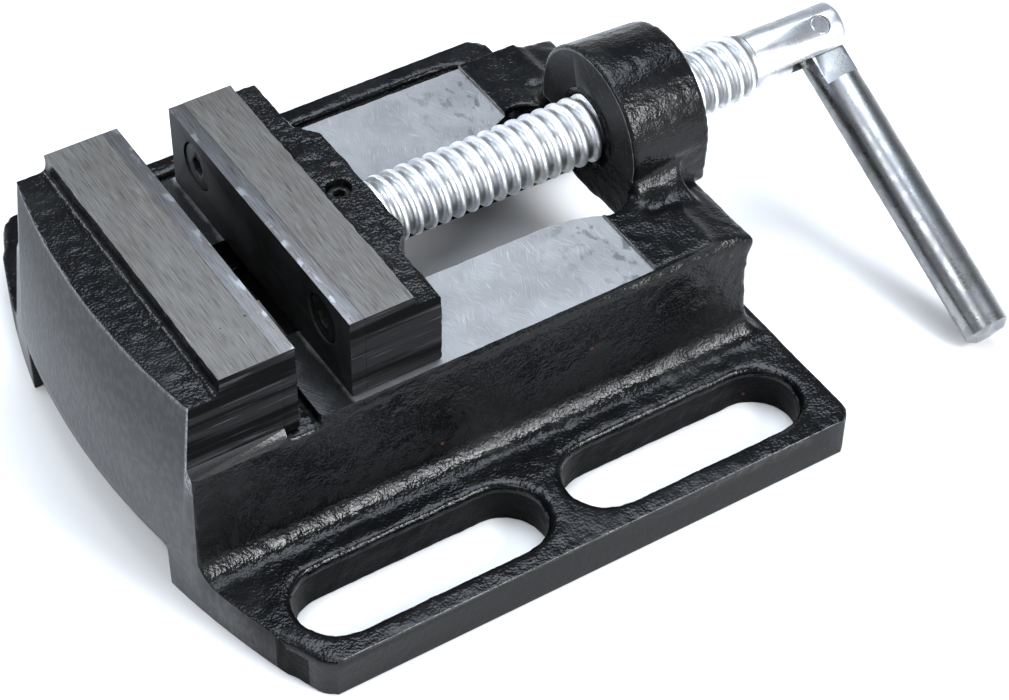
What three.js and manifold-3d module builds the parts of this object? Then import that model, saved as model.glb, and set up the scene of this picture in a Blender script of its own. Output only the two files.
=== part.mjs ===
// Drill-press vise with an 80 mm jaw, as an assembly of separate pieces.
// Millimetres, +Z up. X runs along the screw from the fixed jaw to the handle, Y across the jaws.
// The origin is on the underside of the base, plumb below the fixed jaw's clamping face and
// midway across it.
import * as THREE from 'three';
import { mergeVertices } from 'three/addons/utils/BufferGeometryUtils.js';
import Module from 'manifold-3d';

const wasm = await Module();
wasm.setup();

// ---- driving dimensions ------------------------------------------------------------------

// jaws
const jawWidth = 80;
const jawTop = 60.2;            // underside of the base to the ground jaw tops
const jawOpening = 12.6;        // gap between the clamping faces as modelled
const plateThickness = 3.6;
const fixedJawDepth = 17.4;     // ground top of the fixed jaw, along X
const fixedJawShelf = 11.1;     // rough shelf in front of it, at mid width
const shelfTop = 55.8;
const movingJawDepth = 15.4;    // ground top of the moving jaw, plate included
const movingRearDepth = 6.4;    // rough strip behind it
const movingRearTop = 57.8;
const movingBossReach = 4;      // the screw boss stands this far behind the rough strip
const movingBossHalfWidth = 18.5;
const movingBossShoulder = 4.5; // slope of the boss's shoulders, along Y
const tongueSetback = 1;        // front of the tongue, behind the plate's seat

// base casting
const wayTop = 38.9;
const wayThickness = 10.4;
const bedSlotWidth = 33.4;      // opening between the ways
const bedSlotFront = 4.4;
const bedSlotWideWidth = 42.4;  // at its widest, next to the nut boss
const bedSlotFlare = 23;        // it starts to widen this far in front of the boss
const bedSlotReturn = 7.9;      // and is widest this far in front of it
const bedSlotEndWidth = 35;     // where it meets the boss
const bedLength = 97.3;         // clamping face to the front face of the nut boss
const groundWayMargin = 9.1;    // the ways are ground up to this far in front of the boss
const bodyLedge = 1.8;          // the body stands this far out from the jaws' sides
const bodyFlare = 2.2;          // and this much further at its foot
const bodyShoulderDrop = 2.6;   // its shoulder slopes down by this much from the ways
const chipGrooveDepth = 2.4;    // groove along the foot of the fixed jaw, below the ways
const wallThickness = 9;
const frontWallThickness = 11;
const footFillet = 6;
const webFront = 9;             // cross web under the clamping face
const rearBlockLength = 17.6;   // boss front face to the rear face of the block
const rearBlockTop = 39.5;
const rearBlockDrop = 3.5;
const rearHollow = 2.4;         // how far the rear face curves in
const rearLipHeight = 2;        // upright strip along the top of the rear face
const rearWallThickness = 8;
const rearArchHeight = 18.5;    // the hollow opens under the rear wall
const flangeThickness = 10.6;
const flangeReach = 34.9;       // foot of the body to the flange's side edge
const flangeRearStep = 2.6;     // rear face of the block to the flange's rear edge
const flangeCorner = 3.6;
const frontRadius = 196;
const frontFoot = 32.8;         // clamping face to the foremost point of the foot
const frontFootHeight = 14.4;
const frontLean = 0.103;        // the front face leans back by this much per millimetre of height
const archWidth = 68;
const archHeight = 12;

// clamping slots in the flanges
const slotWidth = 19.2;
const slotLength = 60.2;
const slotBridge = 6.7;
const slotRearMargin = 5.8;
const slotSideMargin = 5.4;

// nut boss and screw
const screwHeight = 46.2;
const bossLength = 21.1;
const bossFrontRadius = 18.9;
const bossRearRadius = 17.8;
const bossFillet = 9;
const crestRadius = 8;
const rootRadius = 6.75;
const pitch = 3.6;
const threadOverrun = 23;       // thread left behind the boss as modelled
const threadStartGap = 0.6;     // moving jaw's rear face to the first thread
const headRadius = 6.76;
const headLength = 25.6;
const headChamfer = 1;
const journalRadius = 6.4;
const journalLength = 15.8;     // how deep the plain tip enters the moving jaw
const grooveOffset = 5.5;       // moving jaw's rear face to the middle of the retaining groove
const grooveWidth = 4.4;
const grooveRadius = 4.9;
const threadRadialGap = 0.3;
const threadFlankGap = 0.22;
const threadLeadIn = 1.2;       // chamfer on the first turn
const threadRunOut = 2.5;       // and where the thread fades into the head
const journalChamfer = 0.8;

// handle
const screwTurn = 30;           // how far the pin leans towards -Y as modelled, degrees
const handleSwing = 2.3;        // how far the handle stands off square to the screw, degrees
const handleRadius = 5.55;
const handleReach = 82.4;       // pin to the tip
const handleFlat = 6.4;         // thickness across the flats at the pin
const handleFlatReach = 13;
const handleChamfer = 1.8;
const pinRadius = 2.45;
const pinSetback = 6.4;         // pin to the end of the head
const headSlotWidth = 6.9;
const headSlotDepth = 9.8;      // pin to the closed end of the slot

// fasteners
const plateScrewSpacing = 56;
const plateScrewHeight = 52;
const plateScrewHeadRadius = 5.5;
const plateScrewHeadDepth = 2.6;
const plateScrewRadius = 3;
const plateScrewLength = 13;
const plateScrewRecess = 0.4;
const plateScrewSocket = 4;     // across flats
const plateSink = 1.7;          // the fixed jaw's plate reaches this far below the ways
const socketDepth = 2;          // of every socket screw
const retainerRadius = 2.6;
const retainerTipRadius = 1.7;
const retainerTipLength = 1.5;
const retainerBodyLength = 3.2;
const retainerSocket = 2.5;
const keeperWidth = 54;
const keeperLength = 18;
const keeperThickness = 6;
const keeperBoltSpacing = 18;
const keeperBoltRadius = 3;
const keeperBoltLength = 16;
const keeperBoltHeadHeight = 4;
const keeperBoltHeadAcross = 10;
const boltHoleSpare = 1.5;      // the bolt holes run this much deeper than the bolts
const washerRadius = 5.8;
const washerThickness = 1.6;

// running and assembly clearances
const slideGap = 0.3;
const boreGap = 0.2;
const holeGap = 0.15;
const seatGap = 0.3;

// ---- sizes that follow from them ---------------------------------------------------------

const wayUnderside = wayTop - wayThickness;
const bodyTopWidth = jawWidth + 2 * bodyLedge;
const bodyFootWidth = bodyTopWidth + 2 * bodyFlare;
const flangeWidth = bodyFootWidth + 2 * flangeReach;
const slotCentre = (flangeWidth - slotWidth) / 2 - slotSideMargin;
const groundWayEnd = bedLength - groundWayMargin;
const bossRear = bedLength + bossLength;
const rearBlockEnd = bedLength + rearBlockLength;
const flangeRear = rearBlockEnd + flangeRearStep;
const cavityHalfWidth = bodyTopWidth / 2 - wallThickness;
const movingFace = jawOpening;
const movingSeat = movingFace + plateThickness;
const movingGroundEnd = movingFace + movingJawDepth;
const movingRear = movingGroundEnd + movingRearDepth;
const movingBossRear = movingRear + movingBossReach;
const tongueFront = movingSeat + tongueSetback;
const tongueBottom = wayUnderside - slideGap;
const keeperFront = tongueFront + seatGap;
const keeperMiddle = keeperFront + keeperLength / 2;
const threadStart = movingBossRear + threadStartGap;
const threadEnd = bossRear + threadOverrun;
const headEnd = threadEnd + headLength;
const pinX = headEnd - pinSetback;
const grooveX = movingBossRear - grooveOffset;
const boreEnd = movingBossRear - journalLength - seatGap;
const sides = { near: -1, far: 1 };

// ---- materials ---------------------------------------------------------------------------

const castIron = { color: 0x101114, roughness: 0.35, metalness: 0.1 };
const darkSteel = { color: 0x3a3a3c, roughness: 0.45, metalness: 0.9 };
const zincSteel = { color: 0xc9ccce, roughness: 0.28, metalness: 1 };
const blackSteel = { color: 0x1c1c1e, roughness: 0.5, metalness: 0.8 };

// ---- solids ------------------------------------------------------------------------------

// A closed geometry as a solid: shared vertices merged, flat triangles dropped, faces outwards.
function solid(geometry) {
  const bare = new THREE.BufferGeometry();
  bare.setAttribute('position', geometry.getAttribute('position').clone());
  if (geometry.index) bare.setIndex(geometry.index.clone());
  const merged = mergeVertices(bare, 1e-4);
  const corners = merged.index.array;
  const kept = [];
  for (let i = 0; i < corners.length; i += 3) {
    const [a, b, c] = [corners[i], corners[i + 1], corners[i + 2]];
    if (a !== b && b !== c && a !== c) kept.push(a, b, c);
  }
  const vertProperties = new Float32Array(merged.getAttribute('position').array);
  if (signedVolume(vertProperties, kept) < 0) kept.reverse();
  return new wasm.Manifold(new wasm.Mesh({ numProp: 3, vertProperties, triVerts: new Uint32Array(kept) }));
}

function signedVolume(points, corners) {
  const [a, b, c] = [new THREE.Vector3(), new THREE.Vector3(), new THREE.Vector3()];
  let sum = 0;
  for (let i = 0; i < corners.length; i += 3) {
    a.fromArray(points, 3 * corners[i]);
    b.fromArray(points, 3 * corners[i + 1]);
    c.fromArray(points, 3 * corners[i + 2]);
    sum += a.dot(b.cross(c));
  }
  return sum;
}

function join(first, ...others) {
  return others.reduce((whole, piece) => whole.add(piece), first);
}

function cut(first, ...others) {
  return others.reduce((whole, piece) => whole.subtract(piece), first);
}

function pieceMesh(name, body, look) {
  const result = body.getMesh();
  const geometry = new THREE.BufferGeometry();
  geometry.setAttribute('position', new THREE.BufferAttribute(result.vertProperties, 3));
  geometry.setIndex(new THREE.BufferAttribute(result.triVerts, 1));
  geometry.computeVertexNormals();
  const mesh = new THREE.Mesh(geometry, new THREE.MeshStandardMaterial(look));
  mesh.name = name;
  return mesh;
}

function box([x0, x1], [y0, y1], [z0, z1]) {
  const geometry = new THREE.BoxGeometry(x1 - x0, y1 - y0, z1 - z0);
  geometry.translate((x0 + x1) / 2, (y0 + y1) / 2, (z0 + z1) / 2);
  return solid(geometry);
}

function extrude(shape, depth, curveSegments = 8) {
  return new THREE.ExtrudeGeometry(shape, { depth, bevelEnabled: false, curveSegments });
}

// Outlines drawn in XY and raised along Z, drawn in YZ and run along X, or drawn in XZ and run
// along Y.
function prismZ(shape, [z0, z1], curveSegments) {
  return solid(extrude(shape, z1 - z0, curveSegments).translate(0, 0, z0));
}

function prismX(shape, [x0, x1], curveSegments) {
  const turn = new THREE.Matrix4().makeBasis(
    new THREE.Vector3(0, 1, 0), new THREE.Vector3(0, 0, 1), new THREE.Vector3(1, 0, 0));
  return solid(extrude(shape, x1 - x0, curveSegments).applyMatrix4(turn).translate(x0, 0, 0));
}

function prismY(shape, [y0, y1], curveSegments) {
  const turn = new THREE.Matrix4().makeBasis(
    new THREE.Vector3(1, 0, 0), new THREE.Vector3(0, 0, 1), new THREE.Vector3(0, -1, 0));
  return solid(extrude(shape, y1 - y0, curveSegments).applyMatrix4(turn).translate(0, y1, 0));
}

// A turned piece: its profile as [distance along the axis, radius], revolved about X.
function turned(profile, segments = 32) {
  const points = profile.map(([along, radius]) => new THREE.Vector2(radius, along));
  return solid(new THREE.LatheGeometry(points, segments).rotateZ(-Math.PI / 2));
}

function rod([x0, x1], radius, segments = 32) {
  return turned([[x0, 0], [x0, radius], [x1, radius], [x1, 0]], segments);
}

// The same rod turned to run up along Z.
function postZ([z0, z1], radius, segments = 24) {
  return rod([z0, z1], radius, segments).rotate([0, -90, 0]);
}

function polygon(points) {
  return new THREE.Shape(points.map(([x, y]) => new THREE.Vector2(x, y)));
}

function hexagon(acrossFlats) {
  const corner = acrossFlats / Math.sqrt(3);
  const angles = [0, 1, 2, 3, 4, 5].map((side) => side * Math.PI / 3);
  return polygon(angles.map((angle) => [corner * Math.cos(angle), corner * Math.sin(angle)]));
}

// ---- screw thread ------------------------------------------------------------------------

// A right-hand trapezoidal thread along X over at least x0 to x1, as one helical skin closed at
// both ends. Its turns are counted from the origin, so every blank is in step with the others.
// grow and widen fatten it into the shape that cuts the nut.
function threadBlank([x0, x1], grow = 0, widen = 0, steps = 24) {
  const first = (Math.floor(x0 / pitch) - 1) * pitch;
  const stations = [
    [-widen, crestRadius + grow],
    [0.3 * pitch + widen, crestRadius + grow],
    [0.48 * pitch + widen, rootRadius + grow],
    [0.82 * pitch - widen, rootRadius + grow],
  ];
  const perTurn = stations.length;
  const rows = Math.ceil((x1 - first) / pitch) * perTurn;
  const points = [];
  const addPoint = (i, j) => {
    const [offset, radius] = stations[j % perTurn];
    const angle = 2 * Math.PI * i / steps;
    const along = first + Math.floor(j / perTurn) * pitch + offset + pitch * i / steps;
    points.push(along, radius * Math.cos(angle), radius * Math.sin(angle));
  };
  for (let i = 0; i < steps; i += 1) {
    for (let j = 0; j <= rows; j += 1) addPoint(i, j);
  }
  for (let j = rows + 1; j <= rows + perTurn; j += 1) addPoint(0, j);
  const index = (i, j) => {
    if (i < steps) return i * (rows + 1) + j;
    return j + perTurn <= rows ? j + perTurn : steps * (rows + 1) + j + perTurn - rows - 1;
  };
  const corners = [];
  for (let i = 0; i < steps; i += 1) {
    for (let j = 0; j < rows; j += 1) {
      corners.push(index(i, j), index(i + 1, j), index(i + 1, j + 1));
      corners.push(index(i, j), index(i + 1, j + 1), index(i, j + 1));
    }
  }
  const startRim = [];
  const endRim = [];
  for (let i = 0; i <= steps; i += 1) {
    startRim.push(index(i, 0));
    endRim.push(index(i, rows));
  }
  for (let j = perTurn - 1; j > 0; j -= 1) {
    startRim.push(index(0, j));
    endRim.push(index(steps, rows - perTurn + j));
  }
  const startCentre = points.length / 3;
  points.push(first, 0, 0);
  const endCentre = points.length / 3;
  points.push(first + rows / perTurn * pitch + pitch / 2, 0, 0);
  for (let k = 0; k < startRim.length; k += 1) {
    const next = (k + 1) % startRim.length;
    corners.push(startCentre, startRim[next], startRim[k]);
    corners.push(endCentre, endRim[k], endRim[next]);
  }
  const geometry = new THREE.BufferGeometry();
  geometry.setAttribute('position', new THREE.Float32BufferAttribute(points, 3));
  geometry.setIndex(corners);
  return solid(geometry);
}

// ---- base casting ------------------------------------------------------------------------

// The plan outline of the foot: a bowed front edge, straight sides and a straight rear edge.
function footOutline() {
  const half = flangeWidth / 2;
  const bowCentre = frontRadius - frontFoot;
  const cornerAngle = Math.asin((half - flangeCorner) / frontRadius);
  const sideX = bowCentre - Math.sqrt(frontRadius ** 2 - half ** 2);
  const shape = new THREE.Shape();
  shape.moveTo(flangeRear - flangeCorner, -half);
  shape.absarc(flangeRear - flangeCorner, -half + flangeCorner, flangeCorner, -Math.PI / 2, 0, false);
  shape.absarc(flangeRear - flangeCorner, half - flangeCorner, flangeCorner, 0, Math.PI / 2, false);
  shape.lineTo(sideX + flangeCorner, half);
  const cornerX = bowCentre - frontRadius * Math.cos(cornerAngle);
  shape.quadraticCurveTo(sideX, half, cornerX, half - flangeCorner);
  shape.absarc(bowCentre, 0, frontRadius, Math.PI - cornerAngle, Math.PI + cornerAngle, false);
  shape.quadraticCurveTo(sideX, -half, sideX + flangeCorner, -half);
  return shape;
}

// Everything behind the front face: upright up to the foot's height, then leaning back.
function frontEnvelope() {
  const front = -frontFoot;
  const bow = new THREE.Shape();
  const angle = Math.asin(flangeWidth / 2 / frontRadius);
  bow.absarc(front + frontRadius, 0, frontRadius, Math.PI - angle, Math.PI + angle, false);
  bow.lineTo(bossRear + 1, -flangeWidth / 2);
  bow.lineTo(bossRear + 1, flangeWidth / 2);
  const upright = prismZ(bow, [0, frontFootHeight], 10);
  const raised = extrude(bow, jawTop - frontFootHeight + 1, 10);
  raised.applyMatrix4(new THREE.Matrix4().set(1, 0, frontLean, 0, 0, 1, 0, 0, 0, 0, 1, 0, 0, 0, 0, 1));
  return join(upright, solid(raised.translate(0, 0, frontFootHeight)));
}

// The body's section across the screw, with a shoulder at the ways and a fillet at the foot.
function bodySection() {
  const top = jawWidth / 2;
  const shoulder = bodyTopWidth / 2;
  const foot = bodyFootWidth / 2;
  const shape = new THREE.Shape();
  shape.moveTo(-top, wayTop);
  shape.lineTo(-shoulder, wayTop - bodyShoulderDrop);
  shape.lineTo(-foot, flangeThickness + footFillet);
  shape.absarc(-foot - footFillet, flangeThickness + footFillet, footFillet, 0, -Math.PI / 2, true);
  shape.lineTo(-foot - footFillet, 0);
  shape.lineTo(foot + footFillet, 0);
  shape.lineTo(foot + footFillet, flangeThickness);
  shape.absarc(foot + footFillet, flangeThickness + footFillet, footFillet, -Math.PI / 2, Math.PI, true);
  shape.lineTo(shoulder, wayTop - bodyShoulderDrop);
  shape.lineTo(top, wayTop);
  return shape;
}

// What the rear of the body keeps: its face curves in between the block and the foot.
function rearEnvelope() {
  const middle = rearBlockEnd - rearHollow;
  const edge = rearBlockTop - rearBlockDrop;
  const lip = edge - rearLipHeight;
  const shape = new THREE.Shape();
  shape.moveTo(-2 * frontFoot, 0);
  shape.lineTo(flangeRear, 0);
  shape.lineTo(flangeRear, flangeThickness);
  shape.quadraticCurveTo(middle, flangeThickness, middle, flangeThickness + 1.6 * footFillet);
  shape.quadraticCurveTo(middle, lip - rearLipHeight, rearBlockEnd, lip);
  shape.lineTo(rearBlockEnd, edge);
  shape.quadraticCurveTo(rearBlockEnd - 6, rearBlockTop, groundWayEnd + 4, rearBlockTop);
  shape.lineTo(groundWayEnd, rearBlockTop);
  shape.lineTo(groundWayEnd, wayTop);
  shape.lineTo(0, wayTop);
  shape.lineTo(0, jawTop + 2);
  shape.lineTo(-2 * frontFoot, jawTop + 2);
  return prismY(shape, [-flangeWidth / 2 - 1, flangeWidth / 2 + 1], 6);
}

function fixedJawBlock() {
  const half = jawWidth / 2;
  const seat = -plateThickness;
  const ground = box([-fixedJawDepth, seat], [-half, half], [wayTop - 4, jawTop]);
  const shelf = box([-frontFoot, -fixedJawDepth + 1], [-half, half], [wayTop - 4, shelfTop]);
  const toe = box([seat - 1, bedSlotFront], [-half, half], [wayTop - 6, wayTop - chipGrooveDepth]);
  return join(ground, shelf, toe);
}

// The screw boss: round over the top, upright sides drawn in towards the rear, and a fillet
// where it grows out of the rear block.
function nutBoss() {
  const round = turned(
    [[bedLength, 0], [bedLength, bossFrontRadius], [bossRear, bossRearRadius], [bossRear, 0]], 40);
  const cheeks = polygon([
    [bedLength, -bossFrontRadius], [bossRear, -bossRearRadius],
    [bossRear, bossRearRadius], [bedLength, bossFrontRadius],
  ]);
  const root = rearBlockTop - bossFillet;
  const middle = (bossFrontRadius + bossRearRadius) / 2 - 0.6;
  const skirt = new THREE.Shape();
  for (const side of [-1, 1]) {
    const sweep = side > 0 ? [Math.PI, 1.5 * Math.PI, false] : [-Math.PI / 2, 0, false];
    if (side < 0) skirt.moveTo(-middle - bossFillet, root);
    if (side < 0) skirt.lineTo(-middle - bossFillet, rearBlockTop - 0.5);
    if (side > 0) skirt.lineTo(middle, rearBlockTop - 0.5 + bossFillet);
    skirt.absarc(side * (middle + bossFillet), rearBlockTop - 0.5 + bossFillet, bossFillet, ...sweep);
  }
  skirt.lineTo(middle + bossFillet, root);
  return join(
    round.translate([0, 0, screwHeight]),
    prismZ(cheeks, [rearBlockTop - rearBlockDrop - rearLipHeight, screwHeight]),
    prismX(skirt, [bedLength, rearBlockEnd - 5], 5),
  );
}

function clampingSlot(x0, side) {
  const radius = slotWidth / 2;
  const shape = new THREE.Shape();
  shape.absarc(x0 + radius, side * slotCentre, radius, Math.PI / 2, 1.5 * Math.PI, false);
  shape.absarc(x0 + slotLength - radius, side * slotCentre, radius, -Math.PI / 2, Math.PI / 2, false);
  return prismZ(shape, [-1, flangeThickness + 1], 8);
}

function clampingSlots() {
  const rearStart = flangeRear - slotRearMargin - slotLength;
  const frontStart = rearStart - slotBridge - slotLength;
  const all = [];
  for (const side of [-1, 1]) all.push(clampingSlot(frontStart, side), clampingSlot(rearStart, side));
  return all;
}

// The hollow under the ways, the pocket under the fixed jaw with its arch, and the bed slot.
function undersideHollows() {
  const half = cavityHalfWidth;
  const main = box([bedSlotFront, rearBlockEnd - rearHollow - rearWallThickness], [-half, half],
    [-1, wayUnderside]);
  const pocketFront = -frontFoot + frontWallThickness;
  const pocket = box([pocketFront, -webFront], [-half, half], [-1, wayUnderside]);
  const arch = box([-frontFoot - 1, -webFront - 1], [-archWidth / 2, archWidth / 2], [-1, archHeight]);
  const slot = box([bedSlotFront, bedLength], [-bedSlotWidth / 2, bedSlotWidth / 2],
    [1, rearBlockTop + 1]);
  const rearArch = box([bedLength, flangeRear + 1], [-half, half], [-1, rearArchHeight]);
  return [main, pocket, arch, slot, rearArch, bedSlotWidening()];
}

// The bed slot swells smoothly to its widest and draws in again at the nut boss.
function bedSlotWidening() {
  const flare = bedLength - bedSlotFlare;
  const widest = bedLength - bedSlotReturn;
  const [narrow, wide, end] = [bedSlotWidth / 2, bedSlotWideWidth / 2, bedSlotEndWidth / 2];
  const shape = new THREE.Shape();
  shape.moveTo(flare, -narrow);
  shape.quadraticCurveTo(widest - bedSlotReturn / 2, -narrow - 1, widest, -wide);
  shape.quadraticCurveTo(bedLength - bedSlotReturn / 2, -wide - 1, bedLength, -end);
  shape.lineTo(bedLength, end);
  shape.quadraticCurveTo(bedLength - bedSlotReturn / 2, wide + 1, widest, wide);
  shape.quadraticCurveTo(widest - bedSlotReturn / 2, narrow + 1, flare, narrow);
  return prismZ(shape, [1, rearBlockTop + 1], 6);
}

function plateScrewHoles(seat, direction) {
  const deep = plateScrewLength + 1;
  return [-1, 1].map((side) => rod([Math.min(seat - direction, seat + direction * deep),
    Math.max(seat - direction, seat + direction * deep)], plateScrewRadius + holeGap, 20)
    .translate([0, side * plateScrewSpacing / 2, plateScrewHeight]));
}

function baseCasting() {
  const body = prismX(bodySection(), [-frontFoot, flangeRear], 5);
  const whole = join(body, fixedJawBlock(), prismZ(footOutline(), [0, flangeThickness], 12));
  const shaped = whole.intersect(frontEnvelope()).intersect(rearEnvelope());
  const nutThread = threadBlank([bedLength - 2, bossRear + 2], threadRadialGap, threadFlankGap)
    .translate([-pitch * screwTurn / 360, 0, screwHeight]);
  const groove = box([-plateThickness, bedSlotFront], [-jawWidth, jawWidth],
    [wayTop - chipGrooveDepth, wayTop + 1]);
  const hollowed = cut(shaped, ...undersideHollows(), ...clampingSlots(), groove);
  return cut(join(hollowed, nutBoss()), nutThread, ...plateScrewHoles(-plateThickness, -1));
}

// ---- jaw plates and their screws ---------------------------------------------------------

// A countersunk screw whose head faces +X, with its head's outer face at the origin.
function plateScrew() {
  const body = turned([
    [-plateScrewLength, 0], [-plateScrewLength, plateScrewRadius - 0.5],
    [-plateScrewLength + 0.7, plateScrewRadius], [-plateScrewHeadDepth, plateScrewRadius],
    [-0.4, plateScrewHeadRadius], [0, plateScrewHeadRadius], [0, 0],
  ], 24);
  return cut(body, prismX(hexagon(plateScrewSocket), [-socketDepth, 1]));
}

// The matching hole through a plate, with the same clearance all round.
function plateScrewSink() {
  const wide = plateScrewHeadRadius + seatGap;
  const narrow = plateScrewRadius + seatGap;
  return turned([
    [-plateThickness - 2, 0], [-plateThickness - 2, narrow], [-plateScrewHeadDepth - 0.3, narrow],
    [-0.5, wide], [1, wide], [1, 0],
  ], 24);
}

function jawPlate([x0, x1], bottom, faceDirection) {
  const plate = box([x0, x1], [-jawWidth / 2, jawWidth / 2], [bottom, jawTop]);
  const sinks = [-1, 1].map((side) => {
    const sink = faceDirection > 0 ? plateScrewSink() : plateScrewSink().mirror([1, 0, 0]);
    const face = faceDirection > 0 ? x1 : x0;
    return sink.translate([face - faceDirection * plateScrewRecess, side * plateScrewSpacing / 2,
      plateScrewHeight]);
  });
  return cut(plate, ...sinks);
}

// ---- moving jaw --------------------------------------------------------------------------

function movingRearOutline() {
  const half = jawWidth / 2;
  const boss = movingBossHalfWidth;
  return polygon([
    [movingSeat, -half], [movingRear, -half], [movingRear, -boss - movingBossShoulder],
    [movingBossRear, -boss], [movingBossRear, boss],
    [movingRear, boss + movingBossShoulder], [movingRear, half], [movingSeat, half],
  ]);
}

function movingJaw() {
  const bottom = wayTop + slideGap;
  const half = jawWidth / 2;
  const tongueHalf = bedSlotWidth / 2 - slideGap;
  const ground = box([movingSeat, movingGroundEnd], [-half, half], [bottom, jawTop]);
  const rear = prismZ(movingRearOutline(), [bottom, movingRearTop]);
  const tongue = box([tongueFront, movingBossRear], [-tongueHalf, tongueHalf], [tongueBottom, bottom + 1]);
  const bore = rod([boreEnd, movingBossRear + 1], journalRadius + boreGap).translate([0, 0, screwHeight]);
  const retainerHole = postZ([screwHeight, movingRearTop + 1], retainerRadius + holeGap)
    .translate([grooveX, 0, 0]);
  const boltDepth = keeperBoltLength - keeperThickness - washerThickness + boltHoleSpare;
  const boltHoles = [-1, 1].map((side) =>
    postZ([tongueBottom - 1, tongueBottom + boltDepth], keeperBoltRadius + holeGap)
      .translate([keeperMiddle, side * keeperBoltSpacing / 2, 0]));
  const holes = [bore, retainerHole, ...boltHoles, ...plateScrewHoles(movingSeat, 1)];
  return cut(join(ground, rear, tongue), ...holes);
}

// A headless socket screw whose dog tip sits in the groove of the spindle and holds it in.
function retainingScrew() {
  const tip = screwHeight + grooveRadius + seatGap;
  const shoulder = tip + retainerTipLength;
  const top = shoulder + retainerBodyLength;
  const body = join(
    postZ([tip, shoulder + 0.5], retainerTipRadius, 16),
    postZ([shoulder, top], retainerRadius, 20),
  );
  const socket = prismZ(hexagon(retainerSocket), [top - socketDepth, top + 1]);
  return cut(body, socket).translate([grooveX, 0, 0]);
}

// ---- keeper under the ways ---------------------------------------------------------------

function keeperPlate() {
  const top = tongueBottom;
  const plate = box([keeperFront, keeperFront + keeperLength], [-keeperWidth / 2, keeperWidth / 2],
    [top - keeperThickness, top]);
  const holes = [-1, 1].map((side) =>
    postZ([top - keeperThickness - 1, top + 1], keeperBoltRadius + seatGap)
      .translate([keeperMiddle, side * keeperBoltSpacing / 2, 0]));
  return cut(plate, ...holes);
}

function keeperWasher(side) {
  const top = tongueBottom - keeperThickness;
  const ring = cut(
    postZ([top - washerThickness, top], washerRadius),
    postZ([top - washerThickness - 1, top + 1], keeperBoltRadius + seatGap),
  );
  return ring.translate([keeperMiddle, side * keeperBoltSpacing / 2, 0]);
}

function keeperBolt(side) {
  const seat = tongueBottom - keeperThickness - washerThickness;
  const bolt = join(
    prismZ(hexagon(keeperBoltHeadAcross), [seat - keeperBoltHeadHeight, seat]),
    postZ([seat - 1, seat + keeperBoltLength], keeperBoltRadius),
  );
  return bolt.translate([keeperMiddle, side * keeperBoltSpacing / 2, 0]);
}

// ---- spindle, pin and handle, about the screw axis with the pin along local Z ----------------

function spindle() {
  const envelope = turned([
    [threadStart, 0], [threadStart, rootRadius], [threadStart + threadLeadIn, crestRadius + 0.1],
    [threadEnd - threadRunOut, crestRadius + 0.1], [threadEnd, headRadius - 0.1], [threadEnd, 0],
  ], 48);
  const thread = threadBlank([threadStart, threadEnd]).intersect(envelope);
  const tip = movingBossRear - journalLength;
  const [grooveFront, grooveRear] = [grooveX - grooveWidth / 2, grooveX + grooveWidth / 2];
  const plain = turned([
    [tip, 0], [tip, journalRadius - journalChamfer], [tip + journalChamfer, journalRadius],
    [grooveFront, journalRadius], [grooveFront, grooveRadius],
    [grooveRear, grooveRadius], [grooveRear, journalRadius],
    [threadStart + 1, journalRadius], [threadStart + 1, 0],
  ]);
  const head = turned([
    [threadEnd - 1, 0], [threadEnd - 1, headRadius], [headEnd - headChamfer, headRadius],
    [headEnd, headRadius - headChamfer], [headEnd, 0],
  ]);
  const half = headSlotWidth / 2;
  const slot = box([pinX - headSlotDepth, headEnd + 1], [-headRadius - 1, headRadius + 1], [-half, half]);
  const pinHole = postZ([-headRadius - 1, headRadius + 1], pinRadius + holeGap)
    .translate([pinX, 0, 0]);
  return cut(join(thread, plain, head), slot, pinHole);
}

function handlePin() {
  const half = headRadius - 0.3;
  return postZ([-half, half], pinRadius).translate([pinX, 0, 0]);
}

// The handle from its pin at the local origin out along -Y.
function handle() {
  const bar = turned([
    [-handleRadius - 1, 0], [-handleRadius - 1, handleRadius],
    [handleReach - handleChamfer, handleRadius],
    [handleReach, handleRadius - handleChamfer], [handleReach, 0],
  ], 28).rotate([0, 0, -90]);
  const outline = new THREE.Shape();
  outline.absarc(0, 0, handleRadius, 0, Math.PI, false);
  outline.lineTo(-handleRadius, -handleReach - 1);
  outline.lineTo(handleRadius, -handleReach - 1);
  const rounded = bar.intersect(prismZ(outline, [-handleRadius - 1, handleRadius + 1], 10));
  const flats = [-1, 1].map((side) => {
    const faces = [side * handleFlat / 2, side * (handleRadius + 1)].sort((a, b) => a - b);
    return box([-handleRadius - 1, handleRadius + 1], [-handleFlatReach, handleRadius + 2], faces);
  });
  const eye = postZ([-handleRadius, handleRadius], pinRadius + boreGap);
  return cut(rounded, ...flats, eye);
}

// ---- assembly ----------------------------------------------------------------------------

const vise = new THREE.Group();

vise.add(pieceMesh('base', baseCasting(), castIron));
vise.add(pieceMesh('fixed_jaw_plate', jawPlate([-plateThickness, 0], wayTop - plateSink, 1), darkSteel));
vise.add(pieceMesh('moving_jaw', movingJaw(), castIron));
vise.add(pieceMesh('moving_jaw_plate',
  jawPlate([movingFace, movingSeat], wayTop + slideGap, -1), darkSteel));
vise.add(pieceMesh('keeper_plate', keeperPlate(), blackSteel));
vise.add(pieceMesh('spindle_retaining_screw', retainingScrew(), blackSteel));

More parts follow.
